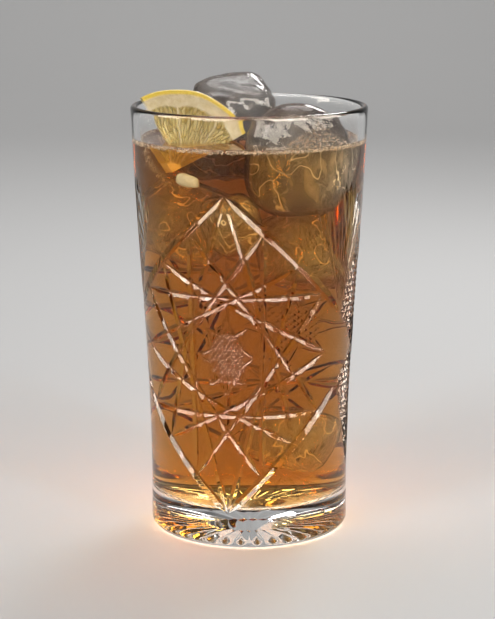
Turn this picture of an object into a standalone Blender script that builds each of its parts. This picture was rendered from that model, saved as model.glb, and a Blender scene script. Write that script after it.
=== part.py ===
"""Tall cut-glass tumbler of gin sling, with lumps of ice and a quarter slice of lemon.

The glass is one solid: a tapered wall with a rolled lip, a thick clear base with a sunburst
of flutes underneath, and V-shaped cuts outside that draw two many-pointed stars, one on each
side, with a panel of fans and lozenges between them. The drink fills it up to its level and
is cut round the ice and the lemon. Lengths are metres, +Z is up, and the origin is the centre
of the foot. The cut pattern is drawn flat in millimetres and then wrapped round the wall.
"""
import math

import bmesh
import bpy
import numpy as np
from mathutils import Euler, Vector
from mathutils.geometry import delaunay_2d_cdt

MM = 0.001
GAP = 0.3 * MM                          # between pieces that touch

# Turned shape of the glass
GLASS_HEIGHT = 146 * MM
WALL_HEIGHTS = (18 * MM, 66 * MM, 118 * MM, 146 * MM)
WALL_RADII = (34.0 * MM, 35.6 * MM, 38.75 * MM, 40.05 * MM)
FOOT_CORNER_R = 3.0 * MM
FOOT_FLAT_R = 29.0 * MM                 # inner edge of the flat ring it stands on
LIP_INNER_R = 37.7 * MM
FLOOR_R = 29.6 * MM                     # straight inner wall carried down to the floor
FLOOR_Z = 12.4 * MM
FLOOR_CORNER_R = 4.0 * MM
COLUMNS = 60                            # corners round the turned stretches

# Sunburst under the base
FLUTES = 30
FLUTE_RIDGE_Z = 0.5 * MM
FLUTE_VALLEY_Z = 1.6 * MM
FLUTE_OUT_R = 28.3 * MM
FLUTE_IN_R = 9.5 * MM

# Cut pattern, in millimetres from the centre of a star: s runs round the wall, t up it
STAR_DIRECTION = math.radians(-102)     # the front star looks a little to the left
STAR_CENTRE_Z = 66.5
PATTERN_R = 35.7                        # radius at which s is measured
PATTERN_T = (-56.0, 60.0)               # lowest and highest row of the cut band
PANEL_S = PATTERN_R * math.pi / 2       # middle of the panel between the two stars
CUT_SLOPE = 0.62                        # steepness of the two flanks of a cut
STAR_TIPS = ((35.5, 0.0), (33.0, 20.0), (23.5, 30.3), (12.0, 41.8), (0.0, 54.0))
STAR_SKIP = 6                           # each tip is joined to the sixth one on
STAR_CUT = (1.05, 6.0)                  # half width, and length of the taper at each end
FRAME_CUT = (1.4, 5.0)
PANEL_CUT = (0.8, 3.0)
BUTTON_CUT = (0.5, 2.0)
FAN_CUT = (1.2, 38.0)
FAN_END_TAPER = 6.0
FRAME_NODE = (42.0, 12.5)               # where frame, fan and lozenges meet
FAN_RAYS = 9
FAN_TOP_S = (29.5, 54.0)
FAN_TOP_T = (50.0, 57.0)                # tops of the outer rays and of the middle one
LOZENGE_TOP_T = 40.5
LOZENGE_WAIST_T = -1.5
LOZENGE_LOW_T = -43.5
BUTTON_TIP = (9.3, 14.0)
BUTTON_SKIP = 3
LATTICE = (5.6, 9.7)                    # spacing of the corners on uncut stretches
LONGEST_S = 5.0                         # an edge that runs further round the wall is split

# Contents
DRINK_TOP_Z = 134.0 * MM
DRINK_SIDES = 60
ICE_GRID = (22, 12)                     # meridians and parallels of a lump
ICE_BACK_AT = (-5.5 * MM, 13.0 * MM, 137.5 * MM)
ICE_BACK_HALF = (13.2 * MM, 11.6 * MM, 15.2 * MM)
ICE_BACK_TURN = (0.40, -0.07, 0.29)
ICE_BACK_SQUARENESS = 4.0               # 2 is an egg, more is nearer a cube
ICE_RIGHT_AT = (16.2 * MM, -11.0 * MM, 129.4 * MM)
ICE_RIGHT_HALF = (16.8 * MM, 9.5 * MM, 18.9 * MM)
ICE_RIGHT_TURN = (-0.20, 0.0, -0.05)
ICE_RIGHT_SQUARENESS = 2.5
LEMON_AT = (-22.1 * MM, -9.6 * MM, 125.1 * MM)     # the slice's inner corner
LEMON_R = 27.7 * MM
LEMON_NARROWING = 0.13                  # the rind ends that much nearer to the corner on the right
LEMON_HALF_THICK = 3.3 * MM
LEMON_EDGE_R = 0.8 * MM
LEMON_CUT_ANGLE = math.radians(119.5)   # where the left cut meets the rind
LEMON_SPAN = math.radians(90.5)
LEMON_TURN = (math.radians(-8), 0.0, math.radians(9))
LEMON_ARC_STEPS = 20


def wall_radius(z):
    """Outer radius of the uncut wall: one cubic through the four named heights."""
    return np.polyval(np.polyfit(WALL_HEIGHTS, WALL_RADII, 3), z)


def bore_radius(z):
    """Inner radius: a straight taper from the lip down to the floor."""
    share = (z - FLOOR_Z) / (GLASS_HEIGHT - FLOOR_Z)
    return FLOOR_R + (LIP_INNER_R - FLOOR_R) * share


def clean_start():
    """Remove whatever the scene holds."""
    for obj in list(bpy.data.objects):
        bpy.data.objects.remove(obj, do_unlink=True)


def material(name, colour, roughness, transmission=0.0, ior=1.45):
    """A Principled material with one colour."""
    mat = bpy.data.materials.new(name)
    mat.use_nodes = True
    shader = mat.node_tree.nodes["Principled BSDF"]
    shader.inputs["Base Color"].default_value = (*colour, 1.0)
    shader.inputs["Roughness"].default_value = roughness
    shader.inputs["Transmission Weight"].default_value = transmission
    shader.inputs["IOR"].default_value = ior
    return mat


def add_object(name, points, faces, mat, sharp_angle=35):
    """A named object from points and faces, with doubles merged and round parts smooth."""
    mesh = bpy.data.meshes.new(name)
    mesh.from_pydata([tuple(p) for p in points], [], [tuple(f) for f in faces])
    work = bmesh.new()
    work.from_mesh(mesh)
    bmesh.ops.remove_doubles(work, verts=work.verts, dist=0.002 * MM)
    bmesh.ops.recalc_face_normals(work, faces=work.faces)
    work.to_mesh(mesh)
    work.free()
    mesh.shade_smooth()
    mesh.set_sharp_from_angle(angle=math.radians(sharp_angle))
    obj = bpy.data.objects.new(name, mesh)
    bpy.context.collection.objects.link(obj)
    if mat:
        obj.data.materials.append(mat)
    return obj


class CutPattern:
    """Straight V-shaped cuts on the flat pattern: ends, half width and tapers of each."""

    def __init__(self):
        self.rows = []

    def cut(self, start, end, half_width, taper, end_taper=None):
        """One cut, also mirrored to the other side of the star's axis and of the panel's."""
        end_taper = taper if end_taper is None else end_taper
        (s0, t0), (s1, t1) = start, end
        for sign, shift in ((1, 0), (-1, 0), (-1, 2 * PANEL_S)):
            row = (sign * s0 + shift, t0, sign * s1 + shift, t1, half_width, taper, end_taper)
            if not any(self.same(row, other) for other in self.rows):
                self.rows.append(row)

    @staticmethod
    def same(row, other):
        """Whether two cuts have the same ends, either way round."""
        ends, back = other[:4], other[2:4] + other[:2]
        return min(np.abs(np.subtract(row[:4], ends)).max(),
                   np.abs(np.subtract(row[:4], back)).max()) < 0.01

    def finish(self):
        """Arrays of the start, the direction, the length, the half width and the tapers."""
        rows = np.array(self.rows)
        self.start, end = rows[:, :2], rows[:, 2:4]
        self.length = np.linalg.norm(end - self.start, axis=1)
        self.along = (end - self.start) / self.length[:, None]
        self.across = np.stack([-self.along[:, 1], self.along[:, 0]], axis=1)
        self.half, self.taper, self.end_taper = rows[:, 4:].T

    def depth(self, points):
        """Depth of the pattern below the uncut wall: the deepest of the cuts at each point."""
        offset = points[:, None, :] - self.start
        run = (offset * self.along).sum(axis=2)
        away = np.abs((offset * self.across).sum(axis=2))
        share = np.minimum(run / self.taper, (self.length - run) / self.end_taper)
        spare = self.half * np.clip(share, -1, 1) - away
        return CUT_SLOPE * np.clip(spare, 0, None).max(axis=1)

    def outline(self, index):
        """The two edges and the bottom line of a cut, as lists of segments."""
        start, along, across = self.start[index], self.along[index], self.across[index]
        length, half = self.length[index], self.half[index]
        near_run, far_run = self.taper[index], length - self.end_taper[index]
        if near_run > far_run:
            near_run = far_run = length * near_run / (near_run + self.end_taper[index])
            half *= near_run / self.taper[index]
        near, far, end = (start + along * run for run in (near_run, far_run, length))
        edges = []
        for side in (-1, 0, 1):
            first, last = near + across * half * side, far + across * half * side
            edges += [(start, first), (first, last), (last, end)]
        return edges

    def crossing(self, one, two, side_one=0, side_two=0):
        """Where two cuts' bottom lines cross, or the edges on the given sides."""
        base_one = self.start[one] + self.across[one] * self.half[one] * side_one
        base_two = self.start[two] + self.across[two] * self.half[two] * side_two
        matrix = np.stack([self.along[one], -self.along[two]], axis=1)
        if abs(np.linalg.det(matrix)) < 0.15:
            return None
        runs = np.linalg.solve(matrix, base_two - base_one)
        for run, cut in zip(runs, (one, two)):
            if not self.taper[cut] <= run <= self.length[cut] - self.end_taper[cut]:
                return None
        return base_one + self.along[one] * runs[0]

    def hips(self):
        """Segments where the flanks of two crossing cuts meet, from a bottom to a corner."""
        found = []
        count = len(self.half)
        for one in range(count):
            for two in range(count):
                if one == two or (self.half[one], one) < (self.half[two], two):
                    continue
                middle = self.crossing(one, two)
                if middle is None:
                    continue
                slant = abs(self.along[two] @ self.across[one])
                step = (self.half[one] - self.half[two]) / slant
                for side_one in (1, -1):
                    way = np.sign(self.along[two] @ self.across[one]) * side_one
                    bottom = middle + self.along[two] * step * way
                    for side_two in (1, -1):
                        corner = self.crossing(one, two, side_one, side_two)
                        if corner is not None:
                            found.append((bottom, corner))
        return found


def star_cuts(pattern, tips, skip, half_width, taper):
    """Join every tip of a star to the one that many places on; tips are given for a quarter."""
    quarter = list(tips)
    half = quarter + [(-s, t) for s, t in quarter[-2::-1]]
    ring = half + [(s, -t) for s, t in half[-2:0:-1]]
    for index, tip in enumerate(ring):
        other = ring[(index + skip) % len(ring)]
        pattern.cut(tip, other, half_width, taper)


def glass_pattern():
    """The whole cut pattern: star, its button, frame, fans and lozenges."""
    pattern = CutPattern()
    star_cuts(pattern, STAR_TIPS, STAR_SKIP, *STAR_CUT)
    button_s, button_t = BUTTON_TIP
    eighth = math.sqrt(0.5)
    button = ((button_s, 0.0), (button_s * eighth, button_t * eighth), (0.0, button_t))
    star_cuts(pattern, button, BUTTON_SKIP, *BUTTON_CUT)
    node_s, node_t = FRAME_NODE
    top_t = STAR_TIPS[-1][1]
    for level in (1, -1):
        pattern.cut((0.0, level * top_t), (node_s, level * node_t), *FRAME_CUT)
    waist = (PANEL_S, LOZENGE_WAIST_T)
    for level, end_t in ((1, LOZENGE_TOP_T), (-1, LOZENGE_LOW_T)):
        corner = (node_s + 1.5, level * node_t)
        pattern.cut((PANEL_S, end_t), corner, *PANEL_CUT)
        pattern.cut(corner, waist, *PANEL_CUT)
    for ray in range(FAN_RAYS):
        share = ray / (FAN_RAYS - 1)
        top_s = FAN_TOP_S[0] + (FAN_TOP_S[1] - FAN_TOP_S[0]) * share
        arch = 1 - (2 * share - 1) ** 2
        top_t = FAN_TOP_T[0] + (FAN_TOP_T[1] - FAN_TOP_T[0]) * arch
        pattern.cut((node_s, node_t + 1.0), (top_s, top_t), *FAN_CUT, FAN_END_TAPER)
    pattern.finish()
    return pattern


def clip_segments(segments):
    """Segments cut off at the star's axis and at the panel's, so they stay in one quarter."""
    kept = []
    for start, end in segments:
        start, end = np.asarray(start, float), np.asarray(end, float)
        step = end[0] - start[0]
        low, high = 0.0, 1.0
        if abs(step) < 1e-9:
            if not 0 <= start[0] <= PANEL_S:
                continue
        else:
            bounds = sorted(((0 - start[0]) / step, (PANEL_S - start[0]) / step))
            low, high = max(low, bounds[0]), min(high, bounds[1])
        if high - low > 1e-6:
            kept.append((start + (end - start) * low, start + (end - start) * high))
    return kept


def triangulate(points, segments):
    """Triangles over the points and segments, as an array of points and one of faces."""
    corners = list(points)
    edges = []
    for start, end in segments:
        edges.append((len(corners), len(corners) + 1))
        corners += [start, end]
    flat = [Vector((float(s), float(t))) for s, t in corners]
    found, _, faces, _, _, _ = delaunay_2d_cdt(flat, edges, [], 0, 1e-4)
    found, faces = np.array([tuple(p) for p in found]), np.array([tuple(f) for f in faces])
    corner_s = found[:, 0][faces]
    on_side = (corner_s.max(axis=1) < 1e-3) | (corner_s.min(axis=1) > PANEL_S - 1e-3)
    return found, faces[~on_side]


def creases(points, faces, heights):
    """The edges across which the slope changes, with those along the rim of the quarter left out."""
    corner = np.column_stack([points, heights])[faces]
    normal = np.cross(corner[:, 1] - corner[:, 0], corner[:, 2] - corner[:, 0])
    slope = normal[:, :2] / normal[:, 2:]
    owner = {}
    kept = []
    for face, (a, b, c) in enumerate(faces):
        for edge in ((a, b), (b, c), (c, a)):
            key = (min(edge), max(edge))
            if key in owner:
                if np.abs(slope[face] - slope[owner[key]]).max() > 0.02:
                    kept.append((points[key[0]], points[key[1]]))
            else:
                owner[key] = face
    return kept


def bent(segments):
    """The same segments, in parts short enough to follow the round wall."""
    parts = []
    for start, end in segments:
        count = math.ceil(max(abs(end[0] - start[0]) / LONGEST_S, 1))
        stops = [start + (end - start) * i / count for i in range(count + 1)]
        parts += list(zip(stops, stops[1:]))
    return parts


def relief_quarter(pattern):
    """Points and faces of a quarter of the cut band: from the star's axis to the panel's."""
    low, high = PATTERN_T
    quarter_columns = COLUMNS // 4
    border = [(PANEL_S * i / quarter_columns, t) for i in range(quarter_columns + 1) for t in (low, high)]
    lines = [edge for index in range(len(pattern.half)) for edge in pattern.outline(index)]
    points, faces = triangulate(border, clip_segments(lines + pattern.hips()))
    kept = creases(points, faces, -pattern.depth(points))
    across = round(PANEL_S / LATTICE[0])
    up = round((high - low) / LATTICE[1])
    lattice = np.array([(PANEL_S * i / across, low + (high - low) * j / up)
                        for j in range(1, up) for i in range(across + 1)])
    clear = lattice[pattern.depth(lattice) <= 0]
    points, faces = triangulate(border + [tuple(p) for p in clear], bent(kept))
    return points, faces, pattern.depth(points)


def wrapped(points, depth, mirror, turn):
    """Flat points carried round the wall: s becomes an angle and t a height."""
    angle = STAR_DIRECTION + turn + mirror * points[:, 0] / PATTERN_R
    height = (STAR_CENTRE_Z + points[:, 1]) * MM
    radius = wall_radius(height) - depth * MM
    return np.column_stack([radius * np.cos(angle), radius * np.sin(angle), height])


def ring(radius, height, columns=COLUMNS):
    """One circle of points; radius and height may differ from column to column."""
    angle = STAR_DIRECTION + 2 * math.pi * np.arange(columns) / columns
    radius = np.broadcast_to(radius, angle.shape)
    height = np.broadcast_to(height, angle.shape)
    return np.column_stack([radius * np.cos(angle), radius * np.sin(angle), height])


def joined_rings(rings, first=0):
    """Quads between each circle and the next one; first is the index of the first point."""
    columns = len(rings[0])
    here = np.arange(columns)
    after = (here + 1) % columns
    quads = []
    for level in range(len(rings) - 1):
        low, high = first + level * columns, first + (level + 1) * columns
        quads += np.column_stack([low + here, low + after, high + after, high + here]).tolist()
    return quads


def arc_rings(centre_r, centre_z, radius, start, end, steps):
    """Circles along an arc of the turned profile, from one angle to another in degrees."""
    angles = np.radians(np.linspace(start, end, steps + 1))
    return [ring(centre_r + radius * math.cos(a), centre_z + radius * math.sin(a)) for a in angles]


def glass_bottom_rings():
    """Circles from the low edge of the cut band round the foot to the middle underneath."""
    low_z = (STAR_CENTRE_Z + PATTERN_T[0]) * MM
    foot_r = wall_radius(FOOT_CORNER_R) - FOOT_CORNER_R
    flutes = np.cos(2 * math.pi * FLUTES * np.arange(COLUMNS) / COLUMNS)
    middle, swing = (FLUTE_RIDGE_Z + FLUTE_VALLEY_Z) / 2, (FLUTE_VALLEY_Z - FLUTE_RIDGE_Z) / 2
    rings = [ring(wall_radius(low_z), low_z)]
    rings += arc_rings(foot_r, FOOT_CORNER_R, FOOT_CORNER_R, 0, -90, 3)
    rings += [ring(FOOT_FLAT_R, 0.0),
              ring(FLUTE_OUT_R, middle + swing * flutes),
              ring(FLUTE_IN_R, middle + swing * 0.4 * flutes),
              ring(FLUTE_IN_R - 1.5 * MM, middle)]
    return rings


def glass_top_rings():
    """Circles from the high edge of the cut band over the lip and down the inside to the floor."""
    high_z = (STAR_CENTRE_Z + PATTERN_T[1]) * MM
    lip_r = (wall_radius(GLASS_HEIGHT) - LIP_INNER_R) / 2
    lip_z = GLASS_HEIGHT - lip_r
    rings = [ring(wall_radius(high_z), high_z)]
    rings += arc_rings(LIP_INNER_R + lip_r, lip_z, lip_r, 0, 180, 4)
    corner_z = FLOOR_Z + FLOOR_CORNER_R
    corner_r = bore_radius(corner_z) - FLOOR_CORNER_R
    middle_z = (lip_z + corner_z) / 2
    rings += [ring(bore_radius(middle_z), middle_z)]
    rings += arc_rings(corner_r, corner_z, FLOOR_CORNER_R, 0, -90, 3)
    return rings


def make_glass(mat):
    """The cut band from four wrapped quarters, closed by the turned bottom and top."""
    flat, faces, depth = relief_quarter(glass_pattern())
    points, polygons = [], []
    for turn in (0.0, math.pi):
        for mirror in (1, -1):
            start = sum(len(p) for p in points)
            points.append(wrapped(flat, depth, mirror, turn))
            polygons += (faces[:, ::mirror] + start).tolist()
    for rings in (glass_bottom_rings(), glass_top_rings()):
        start = sum(len(p) for p in points)
        points += rings
        polygons += joined_rings(rings, start)
        last = start + len(rings[0]) * (len(rings) - 1)
        polygons.append(list(range(last, last + COLUMNS)))
    return add_object("glass", np.concatenate(points), polygons, mat, sharp_angle=25)


def ice_points(centre, half, turn, squareness, seed, margin=0.0):
    """A worn lump of ice: a rounded block whose radius waves a little, turned and placed.

    The block is a superellipsoid: its radius along a direction is the one at which the
    coordinates, each over its half size and raised to the squareness, sum to one.
    """
    meridians, parallels = ICE_GRID
    lon = 2 * math.pi * np.arange(meridians) / meridians
    lat = math.pi * (np.arange(1, parallels) / parallels - 0.5)
    lat, lon = [grid.ravel() for grid in np.meshgrid(lat, lon, indexing="ij")]
    way = np.column_stack([np.cos(lat) * np.cos(lon), np.cos(lat) * np.sin(lon), np.sin(lat)])
    way = np.vstack([way, [(0, 0, -1), (0, 0, 1)]])
    size = (np.abs(way / half) ** squareness).sum(axis=1) ** (-1 / squareness)
    wave = (np.sin(2.3 * way[:, 0] + 1.9 * way[:, 1] + seed)
            + np.sin(2.9 * way[:, 1] - 2.1 * way[:, 2] + 1.7 * seed)
            + 0.6 * np.sin(4.7 * way[:, 2] + 3.9 * way[:, 0] + 2.3 * seed))
    radius = size * (1 + 0.045 * wave) + margin
    rotation = np.array(Euler(turn).to_matrix())
    return (way * radius[:, None]) @ rotation.T + np.array(centre)


def make_ice(name, lump, mat, margin=0.0):
    """One lump, or with a margin the cutter that makes room for it in the drink."""
    points = ice_points(*lump, margin)
    meridians, parallels = ICE_GRID
    rows = [points[i * meridians:(i + 1) * meridians] for i in range(parallels - 1)]
    faces = joined_rings(rows)
    low, high = len(points) - 2, len(points) - 1
    top = (parallels - 2) * meridians
    for i in range(meridians):
        after = (i + 1) % meridians
        faces.append((low, after, i))
        faces.append((high, top + i, top + after))
    return add_object(name, points, faces, mat, sharp_angle=60)


def grown(outline, margin):
    """A closed outline with every corner moved out so that its sides shift by the margin."""
    ahead = np.roll(outline, -1, axis=0) - outline
    ahead /= np.linalg.norm(ahead, axis=1)[:, None]
    out_ahead = np.column_stack([-ahead[:, 1], ahead[:, 0]])
    out_behind = np.roll(out_ahead, 1, axis=0)
    spread = 1 + (out_ahead * out_behind).sum(axis=1)
    return outline + (out_ahead + out_behind) / spread[:, None] * margin


def make_lemon(name, mat, margin=0.0):
    """A quarter slice with a softened edge, its inner corner down in the drink.

    Its outline starts at that corner and runs along the rind from left to right. Four copies
    of the outline, the outer two drawn in a little, give the thickness.
    """
    share = np.linspace(0, 1, LEMON_ARC_STEPS + 1)
    angles = LEMON_CUT_ANGLE - LEMON_SPAN * share
    reach = LEMON_R * (1 - LEMON_NARROWING * share)
    rind = np.column_stack([np.cos(angles), np.sin(angles)]) * reach[:, None]
    outline = np.vstack([(0, 0), rind])
    half = LEMON_HALF_THICK + margin
    rings = []
    for depth, inset in ((-half, LEMON_EDGE_R), (LEMON_EDGE_R - half, 0.0),
                         (half - LEMON_EDGE_R, 0.0), (half, LEMON_EDGE_R)):
        flat = grown(outline, margin - inset)
        rings.append(np.column_stack([flat[:, 0], np.full(len(flat), depth), flat[:, 1]]))
    rotation = np.array(Euler(LEMON_TURN).to_matrix())
    points = np.concatenate(rings) @ rotation.T + np.array(LEMON_AT)
    count = len(rings[0])
    faces = joined_rings(rings) + [list(range(count)), list(range(3 * count, 4 * count))]
    return add_object(name, points, faces, mat, sharp_angle=40)


def make_drink(mat, cutters):
    """The drink: a turned body that follows the bore, cut round what floats in it."""
    corner_z = FLOOR_Z + FLOOR_CORNER_R
    corner_r = bore_radius(corner_z) - FLOOR_CORNER_R
    round_r = FLOOR_CORNER_R - GAP
    turned = []
    for angle in np.radians(np.linspace(-90, 0, 4)):
        turned.append((corner_r + round_r * math.cos(angle), corner_z + round_r * math.sin(angle)))
    turned.append((bore_radius(DRINK_TOP_Z) - GAP, DRINK_TOP_Z))
    rings = [ring(radius, height, DRINK_SIDES) for radius, height in turned]
    faces = joined_rings(rings)
    top = DRINK_SIDES * (len(rings) - 1)
    faces += [list(range(DRINK_SIDES)), list(range(top, top + DRINK_SIDES))]
    drink = add_object("drink", np.concatenate(rings), faces, mat)
    for cutter in cutters:
        cutter.hide_render = True
        cutter.display_type = "WIRE"
        cut = drink.modifiers.new(cutter.name, "BOOLEAN")
        cut.operation = "DIFFERENCE"
        cut.object = cutter
    return drink


def main():
    clean_start()
    clear_glass = material("clear_glass", (0.96, 0.97, 0.96), 0.02, transmission=1.0, ior=1.5)
    amber_drink = material("amber_drink", (0.60, 0.27, 0.06), 0.05, transmission=0.9, ior=1.34)
    clear_ice = material("clear_ice", (0.86, 0.88, 0.88), 0.08, transmission=0.9, ior=1.31)
    lemon = material("lemon", (0.90, 0.74, 0.20), 0.45)
    make_glass(clear_glass)
    lumps = {"ice_back": (ICE_BACK_AT, ICE_BACK_HALF, ICE_BACK_TURN, ICE_BACK_SQUARENESS, 1.0),
             "ice_right": (ICE_RIGHT_AT, ICE_RIGHT_HALF, ICE_RIGHT_TURN, ICE_RIGHT_SQUARENESS, 4.0)}
    cutters = []
    for name, lump in lumps.items():
        make_ice(name, lump, clear_ice)
        cutters.append(make_ice(f"room_for_{name}", lump, None, GAP * 1.5))
    make_lemon("lemon_slice", lemon)
    cutters.append(make_lemon("room_for_lemon", None, GAP))
    make_drink(amber_drink, cutters)


main()
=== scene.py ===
# %% [markdown]
# A gin sling in a cut-glass tumbler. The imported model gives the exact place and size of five
# pieces: the glass, the drink, two lumps of ice and a quarter slice of lemon. Each is rebuilt here
# as a finer piece in the same place, because clear things show every facet: light that goes
# through them is bent at each face, and coarse faces would turn the drink into a mosaic.

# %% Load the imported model
import math

import bmesh
import bpy
import numpy as np
from mathutils import Euler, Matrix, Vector
from mathutils.geometry import delaunay_2d_cdt


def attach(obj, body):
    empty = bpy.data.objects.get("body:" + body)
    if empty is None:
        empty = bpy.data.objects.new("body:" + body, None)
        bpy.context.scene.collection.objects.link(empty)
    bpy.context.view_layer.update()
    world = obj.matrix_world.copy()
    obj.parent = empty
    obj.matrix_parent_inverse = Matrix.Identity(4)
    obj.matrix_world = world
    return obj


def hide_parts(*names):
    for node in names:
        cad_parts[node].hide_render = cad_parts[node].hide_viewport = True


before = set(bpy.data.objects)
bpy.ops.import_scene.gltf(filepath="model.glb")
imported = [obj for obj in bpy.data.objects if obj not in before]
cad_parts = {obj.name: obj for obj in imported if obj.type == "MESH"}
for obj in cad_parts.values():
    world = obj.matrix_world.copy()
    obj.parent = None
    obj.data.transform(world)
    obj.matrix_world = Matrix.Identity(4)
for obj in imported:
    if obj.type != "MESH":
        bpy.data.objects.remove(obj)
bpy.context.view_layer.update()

MM = 0.001

# %% [markdown]
# The photograph fixes the camera: the rim's ellipse and the foot's give its height and tilt,
# and the taper of the outline gives its distance. A long lens from 640 mm away, 213 mm above
# the table and tilted 12 degrees down puts the rim, the foot and the axis on their pixels.

# %% Camera
PHOTO_WIDTH, PHOTO_HEIGHT = 495, 619
FOCAL_PIXELS = 1900.0
SENSOR = 36.0
CAMERA_AT = (-0.58 * MM, -640 * MM, 213 * MM)
CAMERA_TILT = math.radians(90 - 12.15)

camera_data = bpy.data.cameras.new("camera")
camera_data.lens = FOCAL_PIXELS * SENSOR / max(PHOTO_WIDTH, PHOTO_HEIGHT)
camera_data.sensor_width = SENSOR
camera_data.clip_start = 10 * MM
camera = bpy.data.objects.new("camera", camera_data)
camera.location = CAMERA_AT
camera.rotation_euler = (CAMERA_TILT, 0, 0)
bpy.context.collection.objects.link(camera)
bpy.context.scene.camera = camera
print("lens, mm:", round(camera_data.lens, 1))

# %% [markdown]
# Meshes here come from arrays: points on a grid or on closed circles, and faces that join
# neighbours. Two helpers turn them into a piece. One joins circle to circle. The other makes
# the object, keeps any value stored per point for its material, shades it smooth except at
# edges sharper than a given angle, and lets it ride on the model's only body.

# %% Helpers for meshes
def joined_rings(ring_count, columns, first=0, closed=True):
    """Quads between each row of points and the next, as an array of indices."""
    here = np.arange(columns if closed else columns - 1)
    after = (here + 1) % columns
    base = (first + columns * np.arange(ring_count - 1))[:, None]
    quads = np.stack([base + here, base + after, base + columns + after, base + columns + here], axis=2)
    return quads.reshape(-1, 4)


def plain_mesh(name, points, face_groups, values=None, merge=0.002 * MM):
    """A mesh with its doubles merged and its faces turned outwards; values are kept per point."""
    mesh = bpy.data.meshes.new(name)
    faces = [tuple(face) for group in face_groups for face in np.asarray(group).tolist()]
    mesh.from_pydata(np.asarray(points).tolist(), [], faces)
    for key, numbers in (values or {}).items():
        mesh.attributes.new(key, "FLOAT", "POINT").data.foreach_set("value", np.asarray(numbers, "f"))
    work = bmesh.new()
    work.from_mesh(mesh)
    if merge:
        bmesh.ops.remove_doubles(work, verts=work.verts, dist=merge)
    bmesh.ops.recalc_face_normals(work, faces=work.faces)
    open_edges = sum(1 for edge in work.edges if len(edge.link_faces) != 2)
    work.to_mesh(mesh)
    work.free()
    return mesh, open_edges


def make_piece(name, points, face_groups, replaced=None, sharp_angle=30, values=None, merge=0.002 * MM):
    """A closed piece from an array of points and arrays of faces, riding on the root body."""
    mesh, open_edges = plain_mesh(name, points, face_groups, values, merge)
    mesh.shade_smooth()
    mesh.set_sharp_from_angle(angle=math.radians(sharp_angle))
    piece = bpy.data.objects.new(name, mesh)
    bpy.context.collection.objects.link(piece)
    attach(piece, "root")
    if replaced:
        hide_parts(replaced)
    mesh.calc_loop_triangles()
    print(f"{name}: {len(mesh.loop_triangles)} triangles, {open_edges} open edges")
    return piece


# %% [markdown]
# A piece that leans is made upright round the origin, then turned and moved, which keeps its
# formula simple.

# %% Helper for places
def placed(points, turn, place):
    """Points turned by three angles and moved to their place."""
    return points @ np.array(Euler(turn).to_matrix()).T + place


# %% [markdown]
# Every material is wired in Python. A Wire wraps one output of a node and overloads the
# arithmetic signs, so a mask can be written as 1 - ring * 0.5, and each sign adds its Math
# node. A Finish is one material: its node method adds any other node from its type, its
# settings and the values of its sockets.

# %% Helpers for materials
class Wire:
    """One output socket, with arithmetic that adds Math nodes to the same material."""

    def __init__(self, finish, socket):
        self.finish, self.socket = finish, socket

    def math(self, operation, *values):
        return self.finish.node("ShaderNodeMath", {"operation": operation}, dict(enumerate(values)))

    def __add__(self, other):
        return self.math("ADD", self, other)

    def __radd__(self, other):
        return self.math("ADD", other, self)

    def __sub__(self, other):
        return self.math("SUBTRACT", self, other)

    def __rsub__(self, other):
        return self.math("SUBTRACT", other, self)

    def __mul__(self, other):
        return self.math("MULTIPLY", self, other)

    def __rmul__(self, other):
        return self.math("MULTIPLY", other, self)

    def step(self, low, high):
        """0 below low, 1 above high, and an even slope between."""
        ends = {"Value": self, "From Min": low, "From Max": high}
        return self.finish.node("ShaderNodeMapRange", {"clamp": True}, ends)


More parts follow.
